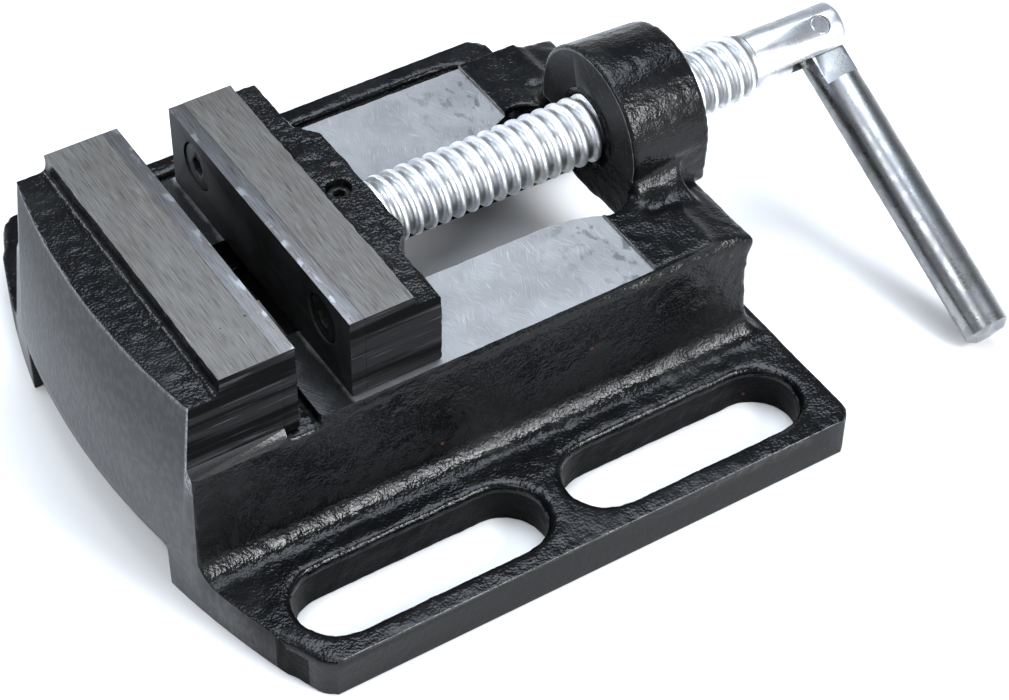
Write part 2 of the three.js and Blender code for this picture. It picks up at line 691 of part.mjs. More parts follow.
for (const [name, side] of Object.entries(sides)) {
  const across = side * plateScrewSpacing / 2;
  const fixedScrew = pieceMesh(`fixed_plate_screw_${name}`, plateScrew(), blackSteel);
  fixedScrew.position.set(-plateScrewRecess, across, plateScrewHeight);
  const movingScrew = pieceMesh(`moving_plate_screw_${name}`, plateScrew().mirror([1, 0, 0]), blackSteel);
  movingScrew.position.set(movingFace + plateScrewRecess, across, plateScrewHeight);
  vise.add(fixedScrew, movingScrew);
  vise.add(pieceMesh(`keeper_washer_${name}`, keeperWasher(side), zincSteel));
  vise.add(pieceMesh(`keeper_bolt_${name}`, keeperBolt(side), blackSteel));
}

const screwGroup = new THREE.Group();
screwGroup.position.set(0, 0, screwHeight);
screwGroup.rotation.x = THREE.MathUtils.degToRad(screwTurn);
screwGroup.add(pieceMesh('spindle', spindle(), zincSteel));
screwGroup.add(pieceMesh('handle_pin', handlePin(), zincSteel));

const handleGroup = new THREE.Group();
handleGroup.position.set(pinX, 0, 0);
handleGroup.rotation.z = THREE.MathUtils.degToRad(handleSwing);
handleGroup.add(pieceMesh('handle', handle(), zincSteel));
screwGroup.add(handleGroup);
vise.add(screwGroup);

export default vise;
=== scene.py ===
import math

import bmesh
import bpy
from mathutils import Matrix, Vector, noise


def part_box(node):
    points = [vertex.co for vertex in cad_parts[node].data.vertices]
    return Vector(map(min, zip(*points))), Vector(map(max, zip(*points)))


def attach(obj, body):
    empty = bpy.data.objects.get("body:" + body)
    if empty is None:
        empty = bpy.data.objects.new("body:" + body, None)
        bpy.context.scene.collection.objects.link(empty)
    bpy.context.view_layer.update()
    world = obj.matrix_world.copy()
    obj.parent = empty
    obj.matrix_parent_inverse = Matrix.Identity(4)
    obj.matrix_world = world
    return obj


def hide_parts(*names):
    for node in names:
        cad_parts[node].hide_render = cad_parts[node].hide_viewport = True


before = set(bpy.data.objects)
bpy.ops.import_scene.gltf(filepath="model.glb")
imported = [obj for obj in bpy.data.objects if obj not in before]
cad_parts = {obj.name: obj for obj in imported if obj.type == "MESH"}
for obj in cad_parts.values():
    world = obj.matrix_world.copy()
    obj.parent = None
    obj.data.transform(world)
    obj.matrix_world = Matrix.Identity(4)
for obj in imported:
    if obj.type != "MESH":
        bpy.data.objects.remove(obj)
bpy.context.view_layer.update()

# ---- Base casting --------------------------------------------------------------------------
# Grey iron cast in sand, with a bowed front, two slotted flanges, the ways and the screw boss.
# The jaw, the ways, the front and the underside are machined after casting; the rest keeps its
# sandy skin under black enamel.


class Tone:
    """One output of a finish's nodes. Arithmetic on it adds the nodes that work it out."""

    def __init__(self, finish, socket):
        self.finish = finish
        self.socket = socket

    def work_out(self, operation, *values):
        return self.finish.node("ShaderNodeMath", {"operation": operation}, dict(enumerate(values)))

    def __add__(self, other):
        return self.work_out("ADD", self, other)

    def __radd__(self, other):
        return self.work_out("ADD", other, self)

    def __sub__(self, other):
        return self.work_out("SUBTRACT", self, other)

    def __rsub__(self, other):
        return self.work_out("SUBTRACT", other, self)

    def __mul__(self, other):
        return self.work_out("MULTIPLY", self, other)

    def __rmul__(self, other):
        return self.work_out("MULTIPLY", other, self)

    def __truediv__(self, other):
        return self.work_out("DIVIDE", self, other)

    def __pow__(self, other):
        return self.work_out("POWER", self, other)

    def __abs__(self):
        return self.work_out("ABSOLUTE", self)

    def larger(self, other):
        return self.work_out("MAXIMUM", self, other)

    def rise(self, low, high):
        """0 below low, 1 above high and smooth between them."""
        return self.finish.node("ShaderNodeMapRange", {"interpolation_type": "SMOOTHSTEP"},
                                {"Value": self, "From Min": low, "From Max": high})


class Finish:
    """A material on one Principled shader, whose patterns are in millimetres on the piece."""

    def __init__(self, name, **constants):
        self.material = bpy.data.materials.new(name)
        self.material.use_nodes = True
        self.tree = self.material.node_tree
        self.shader = self.tree.nodes["Principled BSDF"]
        self.put(constants)
        metres = self.node("ShaderNodeTexCoord", {}, {}, "Object")
        self.place = self.node("ShaderNodeVectorMath", {"operation": "SCALE"},
                               {0: metres, "Scale": 1000.0})
        split = self.node("ShaderNodeSeparateXYZ", {}, {0: self.place})
        self.x, self.y, self.z = [Tone(self, axis) for axis in split.socket.node.outputs]

    def node(self, kind, settings, values, output=0):
        made = self.tree.nodes.new(kind)
        for name, value in settings.items():
            setattr(made, name, value)
        for key, value in values.items():
            self.join(value, made.inputs[key])
        return Tone(self, made.outputs[output])

    def join(self, value, socket):
        if isinstance(value, Tone):
            self.tree.links.new(value.socket, socket)
        else:
            socket.default_value = value

    def put(self, sockets):
        """Sends constants or tones to the shader's own sockets, Base_Color to Base Color."""
        for name, value in sockets.items():
            self.join(value, self.shader.inputs[name.replace("_", " ")])

    def grain(self, size, stretch=(1, 1, 1), detail=2.0, shift=0.0, swing=0):
        """Noise with features of that size, drawn out by stretch, then swung about Z in degrees."""
        spread = [size * s for s in stretch]
        at = self.node("ShaderNodeMapping", {"vector_type": "TEXTURE"}, {
            "Vector": self.place, "Location": [shift * s for s in spread],
            "Rotation": (0, 0, math.radians(swing)), "Scale": spread})
        return self.node("ShaderNodeTexNoise", {}, {"Vector": at, "Scale": 1.0, "Detail": detail})

    def pits(self, size, shift=0.0):
        """Distance to the nearest of scattered points, in shares of their spacing."""
        at = self.node("ShaderNodeMapping", {},
                       {"Vector": self.place, "Location": [shift] * 3, "Scale": [1 / size] * 3})
        return self.node("ShaderNodeTexVoronoi", {}, {"Vector": at, "Scale": 1.0}, "Distance")

    def blend(self, share, first, second):
        """first where share is 0 and second where it is 1, as colours."""
        return self.node("ShaderNodeMix", {"data_type": "RGBA"}, {0: share, 6: first, 7: second}, 2)

    def relief(self, height, depth):
        """Normal for a height from 0 to 1 that stands depth millimetres high."""
        return self.node("ShaderNodeBump", {}, {"Height": height, "Distance": depth / 1000})


def grey(level, blue=0.0):
    return (level * (1 - blue), level, level * (1 + 2 * blue), 1.0)


def cast_enamel(name, depth=0.15, sheen=0.15, gloss=0.22):
    """Black enamel brushed over the sandy skin: wrinkled, wet gloss, rust in a few pinholes."""
    enamel = Finish(name, IOR=1.5, Specular_IOR_Level=gloss)
    wrinkled = enamel.grain(9, detail=2.0, shift=11.0).rise(0.4, 0.62)
    fine = enamel.grain(0.65, detail=1.0)
    coarse = enamel.grain(2.4, detail=2.0, shift=3.0)
    dull = enamel.grain(19, detail=3.0, shift=7.0).rise(0.42, 0.68)
    pinhole = 1 - enamel.pits(9.5).rise(0.025, 0.06)
    black = enamel.blend(dull, grey(0.0018, 0.1), grey(0.0045, 0.04))
    rusted = enamel.blend(pinhole * 0.8, black, (0.09, 0.028, 0.012, 1.0))
    enamel.put({
        "Base_Color": rusted,
        "Roughness": sheen + 0.1 * coarse + 0.09 * dull + 0.3 * pinhole,
        "Normal": enamel.relief(fine * (0.6 + 0.4 * wrinkled) + 0.7 * coarse, depth),
    })
    return enamel.material


def boss_face(name):
    """Faced flat before enamelling: dull black with fine specks and a bare bright rim."""
    faced = Finish(name, IOR=1.5, Specular_IOR_Level=0.25)
    specks = faced.grain(0.6, detail=3.0).rise(0.6, 0.7)
    above = faced.z - SCREW_HEIGHT
    rim = ((faced.y * faced.y + above * above) ** 0.5).rise(18.25, 18.6)
    tone = faced.blend(specks * 0.5, grey(0.008), grey(0.06))
    faced.put({
        "Base_Color": faced.blend(rim * specks.larger(0.4), tone, grey(0.3, 0.02)),
        "Roughness": 0.4 + 0.1 * specks,
        "Normal": faced.relief(specks, 0.05),
    })
    return faced.material


def front_enamel(name):
    """Belt-ground faces under thin satin black, pebbled. The front face is painted lighter and more
    metallic than the flange sides as painted sheen, with painted highlights on its pebbles, and the
    bare glints along the top edges are partly wear and partly painted highlight.
    """
    satin = Finish(name, IOR=1.5, Specular_IOR_Level=0.25)
    pebble = satin.grain(1.5, stretch=(1, 1, 1.4), detail=2.0)
    fine = satin.grain(0.5, stretch=(1, 1, 2), detail=2.0, shift=6.0)
    pinhole = 1 - satin.pits(7.0).rise(0.03, 0.07)
    leaning = FRONT_LEAN * (satin.z - FOOT_TOP).larger(0)
    back = leaning + BASE_LOW.x + satin.y * satin.y / (2 * BOW_RADIUS)
    on_front = (1 - (satin.x - back).rise(0.1, 0.4)) * (1 - abs(satin.y).rise(50, 64) * 0.9)
    # Painted highlight, partly bare wear: bright metallic lines along the flanges' top edge (lip),
    # along the top of the front (brow) and down its corners beside the jaw (cheek), broken up by fine
    # noise.
    lip = satin.z.rise(FLANGE_TOP - 0.45, FLANGE_TOP - 0.15) * (1 - satin.z.rise(FLANGE_TOP, 11.0))
    brow = satin.z.rise(54.2, 55.4)
    cheek = abs(satin.y).rise(39.2, 39.8) * satin.z.rise(30, 38)
    bare = fine.rise(0.36, 0.6)
    worn = (0.5 * (1 - on_front) * lip + on_front * (brow * 0.8).larger(cheek)) * bare
    # Painted sheen: the front face is painted lighter than the flange sides of the same satin, and its
    # pebbles get painted highlights; Metallic below rises there too.
    tone = satin.blend(on_front, grey(0.006, 0.02), grey(0.07, 0.01))
    tone = satin.blend(pebble.rise(0.4, 0.65) * on_front * 0.4, tone, grey(0.11, 0.01))
    tone = satin.blend(pinhole, tone, grey(0.004))
    # Lays on the edge lines from worn: partly bare wear, partly painted highlight.
    tone = satin.blend(worn * 0.75, tone, grey(0.34, 0.02))
    satin.put({
        "Base_Color": tone,
        "Metallic": 0.02 + 0.48 * on_front + 0.3 * worn,
        "Roughness": 0.33 + 0.15 * fine,
        "Normal": satin.relief(pebble + fine * 0.2 - pinhole, 0.16),
    })
    return satin.material


def ground_iron(name, light, blue, edge_x=None):
    """Iron ground across the jaws: streaks along Y over cloudy warmer and cooler patches."""
    iron = Finish(name, Metallic=1.0)
    streaks = iron.grain(0.32, stretch=(1, 24, 1), detail=4.0)
    lines = iron.grain(0.24, stretch=(1, 24, 1), detail=1.0, shift=5.0)
    clouds = iron.grain(8, stretch=(1, 1.8, 1), detail=4.0, shift=1.0).rise(0.3, 0.7)
    dings = 1 - iron.pits(8.5, shift=4.0).rise(0.02, 0.05)
    tone = iron.blend(clouds, grey(light, blue), (light * 0.85, light * 0.77, light * 0.73, 1.0))
    tone = iron.blend(streaks.rise(0.35, 0.75) * 0.6, tone, grey(light * 1.5, blue))
    tone = iron.blend(lines.rise(0.64, 0.76) * 0.5, tone, grey(light * 2.0, blue))
    tone = iron.blend((1 - lines.rise(0.3, 0.42)) * 0.7, tone, grey(light * 0.4, blue))
    if edge_x is not None:
        chip = iron.grain(2.6, stretch=(1, 2, 1), detail=3.0, shift=9.0).rise(0.55, 0.64)
        chip = chip * (1 - abs(iron.x - edge_x).rise(0.7, 1.9))
        tone = iron.blend(chip * 0.75, tone, grey(light * 2.4, 0.04))
    tone = iron.blend(dings * 0.8, tone, grey(0.02))
    iron.put({
        "Base_Color": tone,
        "Roughness": 0.4 + 0.2 * streaks,
        "Normal": iron.relief(streaks * 0.7 + lines * 0.5 - dings, 0.07),
    })
    return iron.material


def ground_way(name):
    """The ways, ground and then scraped crosswise: fine pale scratches, stains at the rear, and a black
    band where they lie between the jaws, partly black paint and partly painted shade.
    """
    way = Finish(name)
    near_set = way.grain(0.24, stretch=(26, 1, 1), detail=2.0, swing=64)
    far_set = way.grain(0.24, stretch=(22, 1, 1), detail=2.0, shift=4.0, swing=-58)
    cross = way.grain(0.24, stretch=(1, 24, 1), detail=2.0, shift=9.0)
    broken = way.grain(5, detail=3.0, shift=2.0).rise(0.35, 0.65)
    swept = near_set * broken + far_set * (1 - broken)
    clouds = way.grain(9, detail=4.0, shift=5.0).rise(0.35, 0.7)
    stain = way.grain(2.2, stretch=(1, 1.6, 1), detail=4.0, shift=8.0).rise(0.54, 0.66)
    stain = stain * way.x.rise(60, 94) * 0.7
    # Black band in front of the moving jaw: partly black paint, partly painted shade between the jaws;
    # it is also made non-metallic and glossier.
    paint_and_shade = 1 - (way.x + way.grain(4, detail=3.0) * 3).rise(13, 15)
    tone = way.blend(clouds * 0.7, grey(0.28, 0.01), grey(0.21, 0.01))
    tone = way.blend(swept.rise(0.55, 0.72) * 0.4, tone, grey(0.5, 0.01))
    tone = way.blend((1 - swept.rise(0.3, 0.45)) * 0.35, tone, grey(0.13, 0.02))
    tone = way.blend(cross.rise(0.6, 0.75) * 0.4, tone, grey(0.5, 0.01))
    tone = way.blend(stain, tone, grey(0.05, 0.06))
    tone = way.blend(paint_and_shade, tone, grey(0.006, 0.05))
    way.put({
        "Base_Color": tone,
        "Metallic": 1 - paint_and_shade,
        "Roughness": 0.52 + 0.12 * swept - 0.1 * stain - 0.3 * paint_and_shade,
        "Normal": way.relief(swept + cross * 0.5, 0.05),
    })
    return way.material


def milled_side(name, along):
    """Sides of the jaws: milled in long dark bands and washed over with thin black."""
    side = Finish(name, Metallic=0.12, Specular_IOR_Level=0.04)
    stretch = (24, 1, 1) if along == "X" else (1, 1, 24)
    bands = side.grain(3.0, stretch=stretch, detail=4.0)
    lines = side.grain(0.6, stretch=stretch, detail=3.0, shift=6.0)
    tone = side.blend(bands.rise(0.45, 0.6), grey(0.002), grey(0.014, 0.02))
    tone = side.blend(lines.rise(0.56, 0.7) * bands.rise(0.4, 0.6) * 0.5, tone, grey(0.08, 0.03))
    side.put({
        "Base_Color": tone,
        "Roughness": 0.38 + 0.2 * lines,
        "Normal": side.relief(lines * 0.5 + bands * 0.5, 0.1),
    })
    return side.material


def bare_mesh(name, points, faces, finish):
    """A piece from points in millimetres."""
    mesh = bpy.data.meshes.new(name)
    mesh.from_pydata([Vector(point) / 1000 for point in points], [], faces)
    work = bmesh.new()
    work.from_mesh(mesh)
    bmesh.ops.recalc_face_normals(work, faces=work.faces)
    work.to_mesh(mesh)
    work.free()
    mesh.materials.append(finish)
    piece = bpy.data.objects.new(name, mesh)
    bpy.context.scene.collection.objects.link(piece)
    return piece


def block(x, y, z, finish):
    """A rectangular cutter, from ranges in millimetres."""
    corners = [(a, b, c) for a in x for b in y for c in z]
    sides = [(0, 1, 3, 2), (4, 6, 7, 5), (0, 4, 5, 1), (2, 3, 7, 6), (0, 2, 6, 4), (1, 5, 7, 3)]
    return bare_mesh("cutter", corners, sides, finish)


def turned(name, profile, segments, finish):
    """A piece turned about X, from (distance along X, radius) in millimetres, closed at its ends."""
    points, faces = [], []
    for along, radius in profile:
        for i in range(segments):
            angle = 2 * math.pi * i / segments
            points.append((along, radius * math.cos(angle), radius * math.sin(angle)))
    for ring in range(len(profile) - 1):
        for i in range(segments):
            a, b = ring * segments + i, ring * segments + (i + 1) % segments
            faces.append((a, b, b + segments, a + segments))
    faces += [tuple(range(segments)), tuple(range(len(points) - segments, len(points)))]
    return bare_mesh(name, points, faces, finish)


def settle(piece):
    """Works a piece's modifiers into its mesh."""
    graph = bpy.context.evaluated_depsgraph_get()
    old = piece.data
    piece.data = bpy.data.meshes.new_from_object(piece.evaluated_get(graph))
    piece.modifiers.clear()
    bpy.data.meshes.remove(old)


def combine(piece, tool, operation="DIFFERENCE"):
    """Cuts a tool out of a piece or joins it on; new faces keep the tool's finish."""
    step = piece.modifiers.new(operation, "BOOLEAN")
    step.solver = "MANIFOLD"
    step.material_mode = "TRANSFER"
    step.operation = operation
    step.object = tool
    settle(piece)
    bpy.data.objects.remove(tool)


def modelled(node, name):
    """A separate copy of a node's shape as the model gives it, its shared corners welded."""
    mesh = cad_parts[node].data.copy()
    mesh.materials.clear()
    work = bmesh.new()
    work.from_mesh(mesh)
    bmesh.ops.remove_doubles(work, verts=work.verts, dist=2e-6)
    work.to_mesh(mesh)
    work.free()
    piece = bpy.data.objects.new(name, mesh)
    bpy.context.scene.collection.objects.link(piece)
    return piece


def leave_stock(piece, rules):
    """Moves points out to leave metal for machining. A rule gives a point's move, or None."""
    for vertex in piece.data.vertices:
        place = vertex.co * 1000
        for rule in rules:
            vertex.co += Vector(rule(place) or (0, 0, 0)) / 1000


def cast_in_sand(piece, voxel, softening, finish, roughness_at, soft_at=None):
    """Rounds a shape's edges, further where soft_at says so, and gives it a lumpy skin whose depth
    in millimetres is roughness_at's."""
    mould = piece.modifiers.new("mould", "REMESH")
    mould.mode = "VOXEL"
    mould.voxel_size = voxel / 1000
    settle(piece)
    ease = piece.modifiers.new("ease", "SMOOTH")
    ease.factor = 0.5
    ease.iterations = softening
    if soft_at:
        worn_down = piece.vertex_groups.new(name="worn_down")
        soft = [vertex.index for vertex in piece.data.vertices if soft_at(vertex.co * 1000)]
        worn_down.add(soft, 1.0, "REPLACE")
        further = piece.modifiers.new("further", "SMOOTH")
        further.factor = 0.5
        further.iterations = 3 * softening
        further.vertex_group = worn_down.name
    settle(piece)
    piece.data.materials.clear()
    piece.data.materials.append(finish)
    normals = [Vector(normal.vector) for normal in piece.data.vertex_normals]
    for vertex, normal in zip(piece.data.vertices, normals):
        place = vertex.co * 1000
        swell = noise.noise(place / 13) * 0.8
        lumps = noise.noise(place / 3.1 + Vector((7, 0, 0)))
        grit = noise.noise(place / 1.45 + Vector((0, 9, 0))) * 0.8
        vertex.co += normal * (swell + lumps + grit) * roughness_at(place) / 1000


def dress(piece, angle=35):
    """Smooth shading that stays crisp at the machined edges."""
    piece.data.shade_smooth()
    piece.data.set_sharp_from_angle(angle=math.radians(angle))


def ride_as(piece, body, slot, *nodes):
    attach(piece, body)
    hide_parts(*nodes)


VOXEL = 0.72
STOCK = 1.4
JAW_HALF = 40.0
JAW_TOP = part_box("fixed_jaw_plate")[1].z * 1000
JAW_GROUND_FRONT = -17.4
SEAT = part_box("fixed_jaw_plate")[0].x * 1000
TOE_END = 4.4
GROOVE_FLOOR = 36.5
WAY_TOP = 38.9
WAY_END = 88.2
HOLLOW_REAR = 104.5
HOLLOW_HALF = 32.8
HOLLOW_TOP = 28.5
BED_SLOT_HALF = 16.7
LEDGE = 1.8
LEDGE_DROP = 2.6
BOSS_FRONT = 97.3
SCREW_HEIGHT = 46.2
BASE_LOW, BASE_HIGH = [corner * 1000 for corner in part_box("base")]
FLANGE_TOP = 10.6
FLANGE_REAR = 117.5
FRONT_LEAN = 0.103
FOOT_TOP = 14.4
BOW_RADIUS = 196
BOSS_CORE = 17
BOSS_SWELL = 0.6
BOSS_FACE_HALF = 19.5
BOSS_FACE_FOOT = 43
NUT_BORE = 9.3
NUT_SLEEVE = 9.6
SLOT_BAND = 50
# Cutters reach past the castings: to FAR at each side, by PAST beyond a face, or as high as OVER.
FAR = 90
PAST = 9
OVER = 70


def front_face(y, z):
    """Distance along X of the bowed front, which leans back above the foot."""
    return BASE_LOW.x + y * y / (2 * BOW_RADIUS) + FRONT_LEAN * max(z - FOOT_TOP, 0)


def foot_stock(place):
    """Metal to machine off the bowed front and the flanges' edges."""
    if place.z > FLANGE_TOP + 0.1:
        ahead = place.x < front_face(place.y, place.z) + 0.4
        return (-STOCK if ahead else 0, 0, 0)
    ahead = place.x < front_face(place.y, 0) + 0.4
    return (-STOCK if ahead else STOCK if place.x > FLANGE_REAR - 0.1 else 0,
            math.copysign(STOCK, place.y) if abs(place.y) > BASE_HIGH.y - 0.1 else 0, 0)


def jaw_stock(place):
    """Metal to machine off the sides of the fixed jaw, and off its top."""
    side = STOCK if place.y > 0 else -STOCK
    grown = abs(abs(place.y) - JAW_HALF) < 0.1 and place.z > GROOVE_FLOOR - 1
    on_top = place.z > JAW_TOP - 0.1 and place.x < TOE_END
    return (0, side if grown else 0, STOCK if on_top else 0)


def boss_stock(place):
    """Stands the round of the cast screw boss a little outside the model's."""
    outward = Vector((0, place.y, place.z - SCREW_HEIGHT))
    on_round = place.x > BOSS_FRONT - 0.1 and place.z > SCREW_HEIGHT and outward.length > BOSS_CORE
    return outward.normalized() * BOSS_SWELL if on_round else None


def ground_stock(place):
    """Metal to grind off the underside and the ways."""
    if place.z < 0.1:
        return (0, 0, -STOCK)
    if abs(place.z - WAY_TOP) < 0.1 and place.x > SEAT:
        return (0, 0, STOCK * 0.6)
    return None


def base_roughness(place):
    """Slight at the front and the flanges' outer edges, and less on the boss than on the body."""
    at_edge = abs(place.y) > BASE_HIGH.y - 7 and place.z < FLANGE_TOP - 1
    if at_edge or place.x < front_face(place.y, place.z) + 1.6:
        return 0.04
    return 0.1 if place.x > WAY_END and place.z > 44 else 0.13


def beside_slot_or_ledge(place):
    """Whether a point is beside a clamping slot, or on the ledge below the fixed jaw's ends."""
    flange = SLOT_BAND < abs(place.y) < 77.2 and 6.5 < place.z < FLANGE_TOP + 1
    return flange or (abs(place.y) > 40.4 and 34 < place.z < 41 and place.x < TOE_END)


def front_cutter(finish):
    """Everything in front of the finished face, over the jaw and the foot below it."""
    ys = [-90 + 180 * i / 60 for i in range(61)]
    zs = [-5, FOOT_TOP, JAW_TOP + 6]
    points, faces = [], []
    for y in ys:
        points += [(front_face(y, z), y, z) for z in zs]
        points += [(BASE_LOW.x - 20, y, z) for z in reversed(zs)]
    ring = 2 * len(zs)
    for i in range(len(ys) - 1):
        for j in range(ring):
            a, b = i * ring + j, i * ring + (j + 1) % ring
            faces.append((a, b, b + ring, a + ring))
    faces += [tuple(range(ring)), tuple(range(len(points) - ring, len(points)))]
    return bare_mesh("cutter", points, faces, finish)


def ledge_cutter(side, finish):
    """Takes the corner off the ledge that stands out below one end of the fixed jaw."""
    corner = [(JAW_HALF, WAY_TOP), (JAW_HALF + 1.6 * LEDGE, WAY_TOP - 1.6 * LEDGE_DROP),
              (JAW_HALF + 5, WAY_TOP)]
    points = [(x, side * out, z) for x in (-60, TOE_END) for out, z in corner]
    return bare_mesh("cutter", points, [(0, 1, 2), (3, 4, 5), (0, 1, 4, 3), (1, 2, 5, 4), (2, 0, 3, 5)],
                     finish)


def nut_bore(radius):
    """A round cutter through the screw boss."""
    ends = (BOSS_FRONT - PAST, BASE_HIGH.x + PAST)
    bore = turned("cutter", [(x, radius) for x in ends], 64, enamel_skin)
    bore.data.transform(Matrix.Translation((0, 0, SCREW_HEIGHT / 1000)))
    return bore


enamel_skin = cast_enamel("cast_black_enamel")
ledge_skin = cast_enamel("ledge_gloss_enamel", 0.04, 0.18, 0.5)
wall_skin = cast_enamel("slot_wall_enamel", 0.12, 0.3, 0.05)
front_skin = front_enamel("front_satin_enamel")
jaw_ground = ground_iron("ground_jaw_top", 0.125, -0.03)
way_ground = ground_way("ground_ways")
side_milled = milled_side("milled_jaw_side", "X")
seat_milled = milled_side("milled_seat", "Z")

base = modelled("base", "base_casting")
leave_stock(base, [foot_stock, jaw_stock, boss_stock, ground_stock])
cast_in_sand(base, VOXEL, 4, enamel_skin, base_roughness, beside_slot_or_ledge)
for cutter in [
    block((-60, 140), (-FAR, FAR), (-PAST, 0), front_skin),
    block((-60, 140), (BASE_HIGH.y, FAR), (-PAST, 20), front_skin),
    block((-60, 140), (-FAR, -BASE_HIGH.y), (-PAST, 20), front_skin),
    block((FLANGE_REAR, 140), (-FAR, FAR), (-PAST, 20), front_skin),
    front_cutter(front_skin),
    block((JAW_GROUND_FRONT - 0.6, TOE_END + 20), (-FAR, FAR), (JAW_TOP, JAW_TOP + PAST), jaw_ground),
    block((-60, TOE_END), (JAW_HALF, FAR), (WAY_TOP, JAW_TOP + PAST), side_milled),
    block((-60, TOE_END), (-FAR, -JAW_HALF), (WAY_TOP, JAW_TOP + PAST), side_milled),
    ledge_cutter(-1, ledge_skin),
    ledge_cutter(1, ledge_skin),
    block((SEAT, TOE_END), (-FAR, FAR), (GROOVE_FLOOR, JAW_TOP + PAST), seat_milled),
    block((TOE_END - 0.5, WAY_END), (-FAR, FAR), (WAY_TOP, JAW_TOP + PAST), way_ground),
    block((TOE_END, HOLLOW_REAR), (-HOLLOW_HALF, HOLLOW_HALF), (-PAST, HOLLOW_TOP), enamel_skin),
    block((TOE_END, WAY_END), (-BED_SLOT_HALF, BED_SLOT_HALF), (HOLLOW_TOP - 1, 50), enamel_skin),
    block((WAY_END, BOSS_FRONT + 0.2), (-BOSS_FACE_HALF, BOSS_FACE_HALF), (BOSS_FACE_FOOT, OVER),
          boss_face("boss_face")),
    nut_bore(NUT_BORE),
]:
    combine(base, cutter)
sleeve = modelled("base", "nut_thread")
sleeve.data.materials.append(enamel_skin)
combine(sleeve, nut_bore(NUT_SLEEVE), "INTERSECT")
combine(base, sleeve, "UNION")
base.data.materials.append(wall_skin)
satin_slot = base.data.materials.find(front_skin.name)
wall_slot = base.data.materials.find(wall_skin.name)
for face in base.data.polygons:
    x, y, z = face.center * 1000
    rim = abs(y) > BASE_HIGH.y - 5 and (x < front_face(y, 0) + 6 or x > FLANGE_REAR - 5)
    if rim and z < FLANGE_TOP - 0.9 and abs(face.normal.z) < 0.5:
        face.material_index = satin_slot
    elif SLOT_BAND < abs(y) < BASE_HIGH.y - 1 and 0.1 < z < FLANGE_TOP - 2 and abs(face.normal.z) < 0.4:
        face.material_index = wall_slot
dress(base)
ride_as(base, "base", "black_casting", "base")

# ---- Jaw plates ----------------------------------------------------------------------------
# Two flat bars of blackened steel, sunk for two screws each. Their top edges are ground in one
# pass with the jaws, and their near and far ends are milled.


def crisp(piece, width, angle=30):
    """Breaks the edges of a machined piece with a narrow chamfer in two steps."""
    work = bmesh.new()
    work.from_mesh(piece.data)
    bmesh.ops.dissolve_limit(work, angle_limit=math.radians(1), verts=work.verts, edges=work.edges)
    work.to_mesh(piece.data)
    work.free()
    edge = piece.modifiers.new("edge", "BEVEL")
    edge.width = width / 1000
    edge.segments = 2
    edge.limit_method = "ANGLE"
    edge.angle_limit = math.radians(angle)
    settle(piece)
    dress(piece, 28)


def blackened_steel(name, level, rough=0.34):
    """Oil-blackened steel with faint mill lines, worn thin in places."""
    steel = Finish(name, Metallic=0.4, Specular_IOR_Level=0.3)
    lines = steel.grain(0.35, stretch=(1, 40, 1), detail=3.0)
    clouds = steel.grain(9, detail=4.0, shift=4.0)
    tone = steel.blend(clouds.rise(0.4, 0.7), grey(level), grey(level * 2.4, 0.02))
    tone = steel.blend(lines.rise(0.55, 0.8) * 0.5, tone, grey(level * 5, 0.02))
    steel.put({
        "Base_Color": tone,
        "Roughness": rough + 0.14 * clouds,
        "Normal": steel.relief(lines * 0.6 + clouds * 0.4, 0.04),
    })
    return steel.material


plate_black = blackened_steel("blackened_plate", 0.008, 0.46)
for plate_name, plate_body in (("fixed_jaw_plate", "base"), ("moving_jaw_plate", "moving_jaw")):
    plate = modelled(plate_name, plate_name + "_bar")
    crisp(plate, 0.25)
    biting_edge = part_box(plate_name)[1 if plate_body == "base" else 0].x * 1000
    plate_ground = ground_iron(plate_name + "_ground_top", 0.12, 0.03, biting_edge)
    for finish in (plate_black, plate_ground, side_milled):
        plate.data.materials.append(finish)
    for face in plate.data.polygons:
        if face.normal.z > 0.6 and face.center.z * 1000 > JAW_TOP - 0.5:
            face.material_index = 1
        elif abs(face.normal.y) > 0.6 and abs(face.center.y) * 1000 > JAW_HALF - 0.5:
            face.material_index = 2
    ride_as(plate, plate_body, "jaw_steel", plate_name)

# ---- Plate screws --------------------------------------------------------------------------
# Four countersunk socket screws in black oxide, sunk just below the faces of the plates.


def black_oxide(name):
    """Oxide black on a machined screw, a little worn where the key has turned it."""
    oxide = Finish(name, Metallic=0.8)
    fine = oxide.grain(0.4, detail=3.0)
    worn = oxide.grain(1.7, detail=3.0, shift=3.0).rise(0.55, 0.75)
    oxide.put({
        "Base_Color": oxide.blend(worn, grey(0.014), grey(0.07, 0.02)),
        "Roughness": 0.32 + 0.2 * fine,
        "Normal": oxide.relief(fine, 0.03),
    })
    return oxide.material


screw_black = black_oxide("black_oxide")
for side in ("near", "far"):
    for jaw, body in (("fixed", "base"), ("moving", "moving_jaw")):
        node = f"{jaw}_plate_screw_{side}"
        screw = modelled(node, node + "_turned")
        crisp(screw, 0.12)
        screw.data.materials.append(screw_black)
        ride_as(screw, body, "black_steel", node)

# ---- Moving jaw ----------------------------------------------------------------------------
# A second iron casting. Its top, seat, sides and guide tongue are machined; the back, with the
# boss for the spindle, keeps its lumpy skin under the enamel.

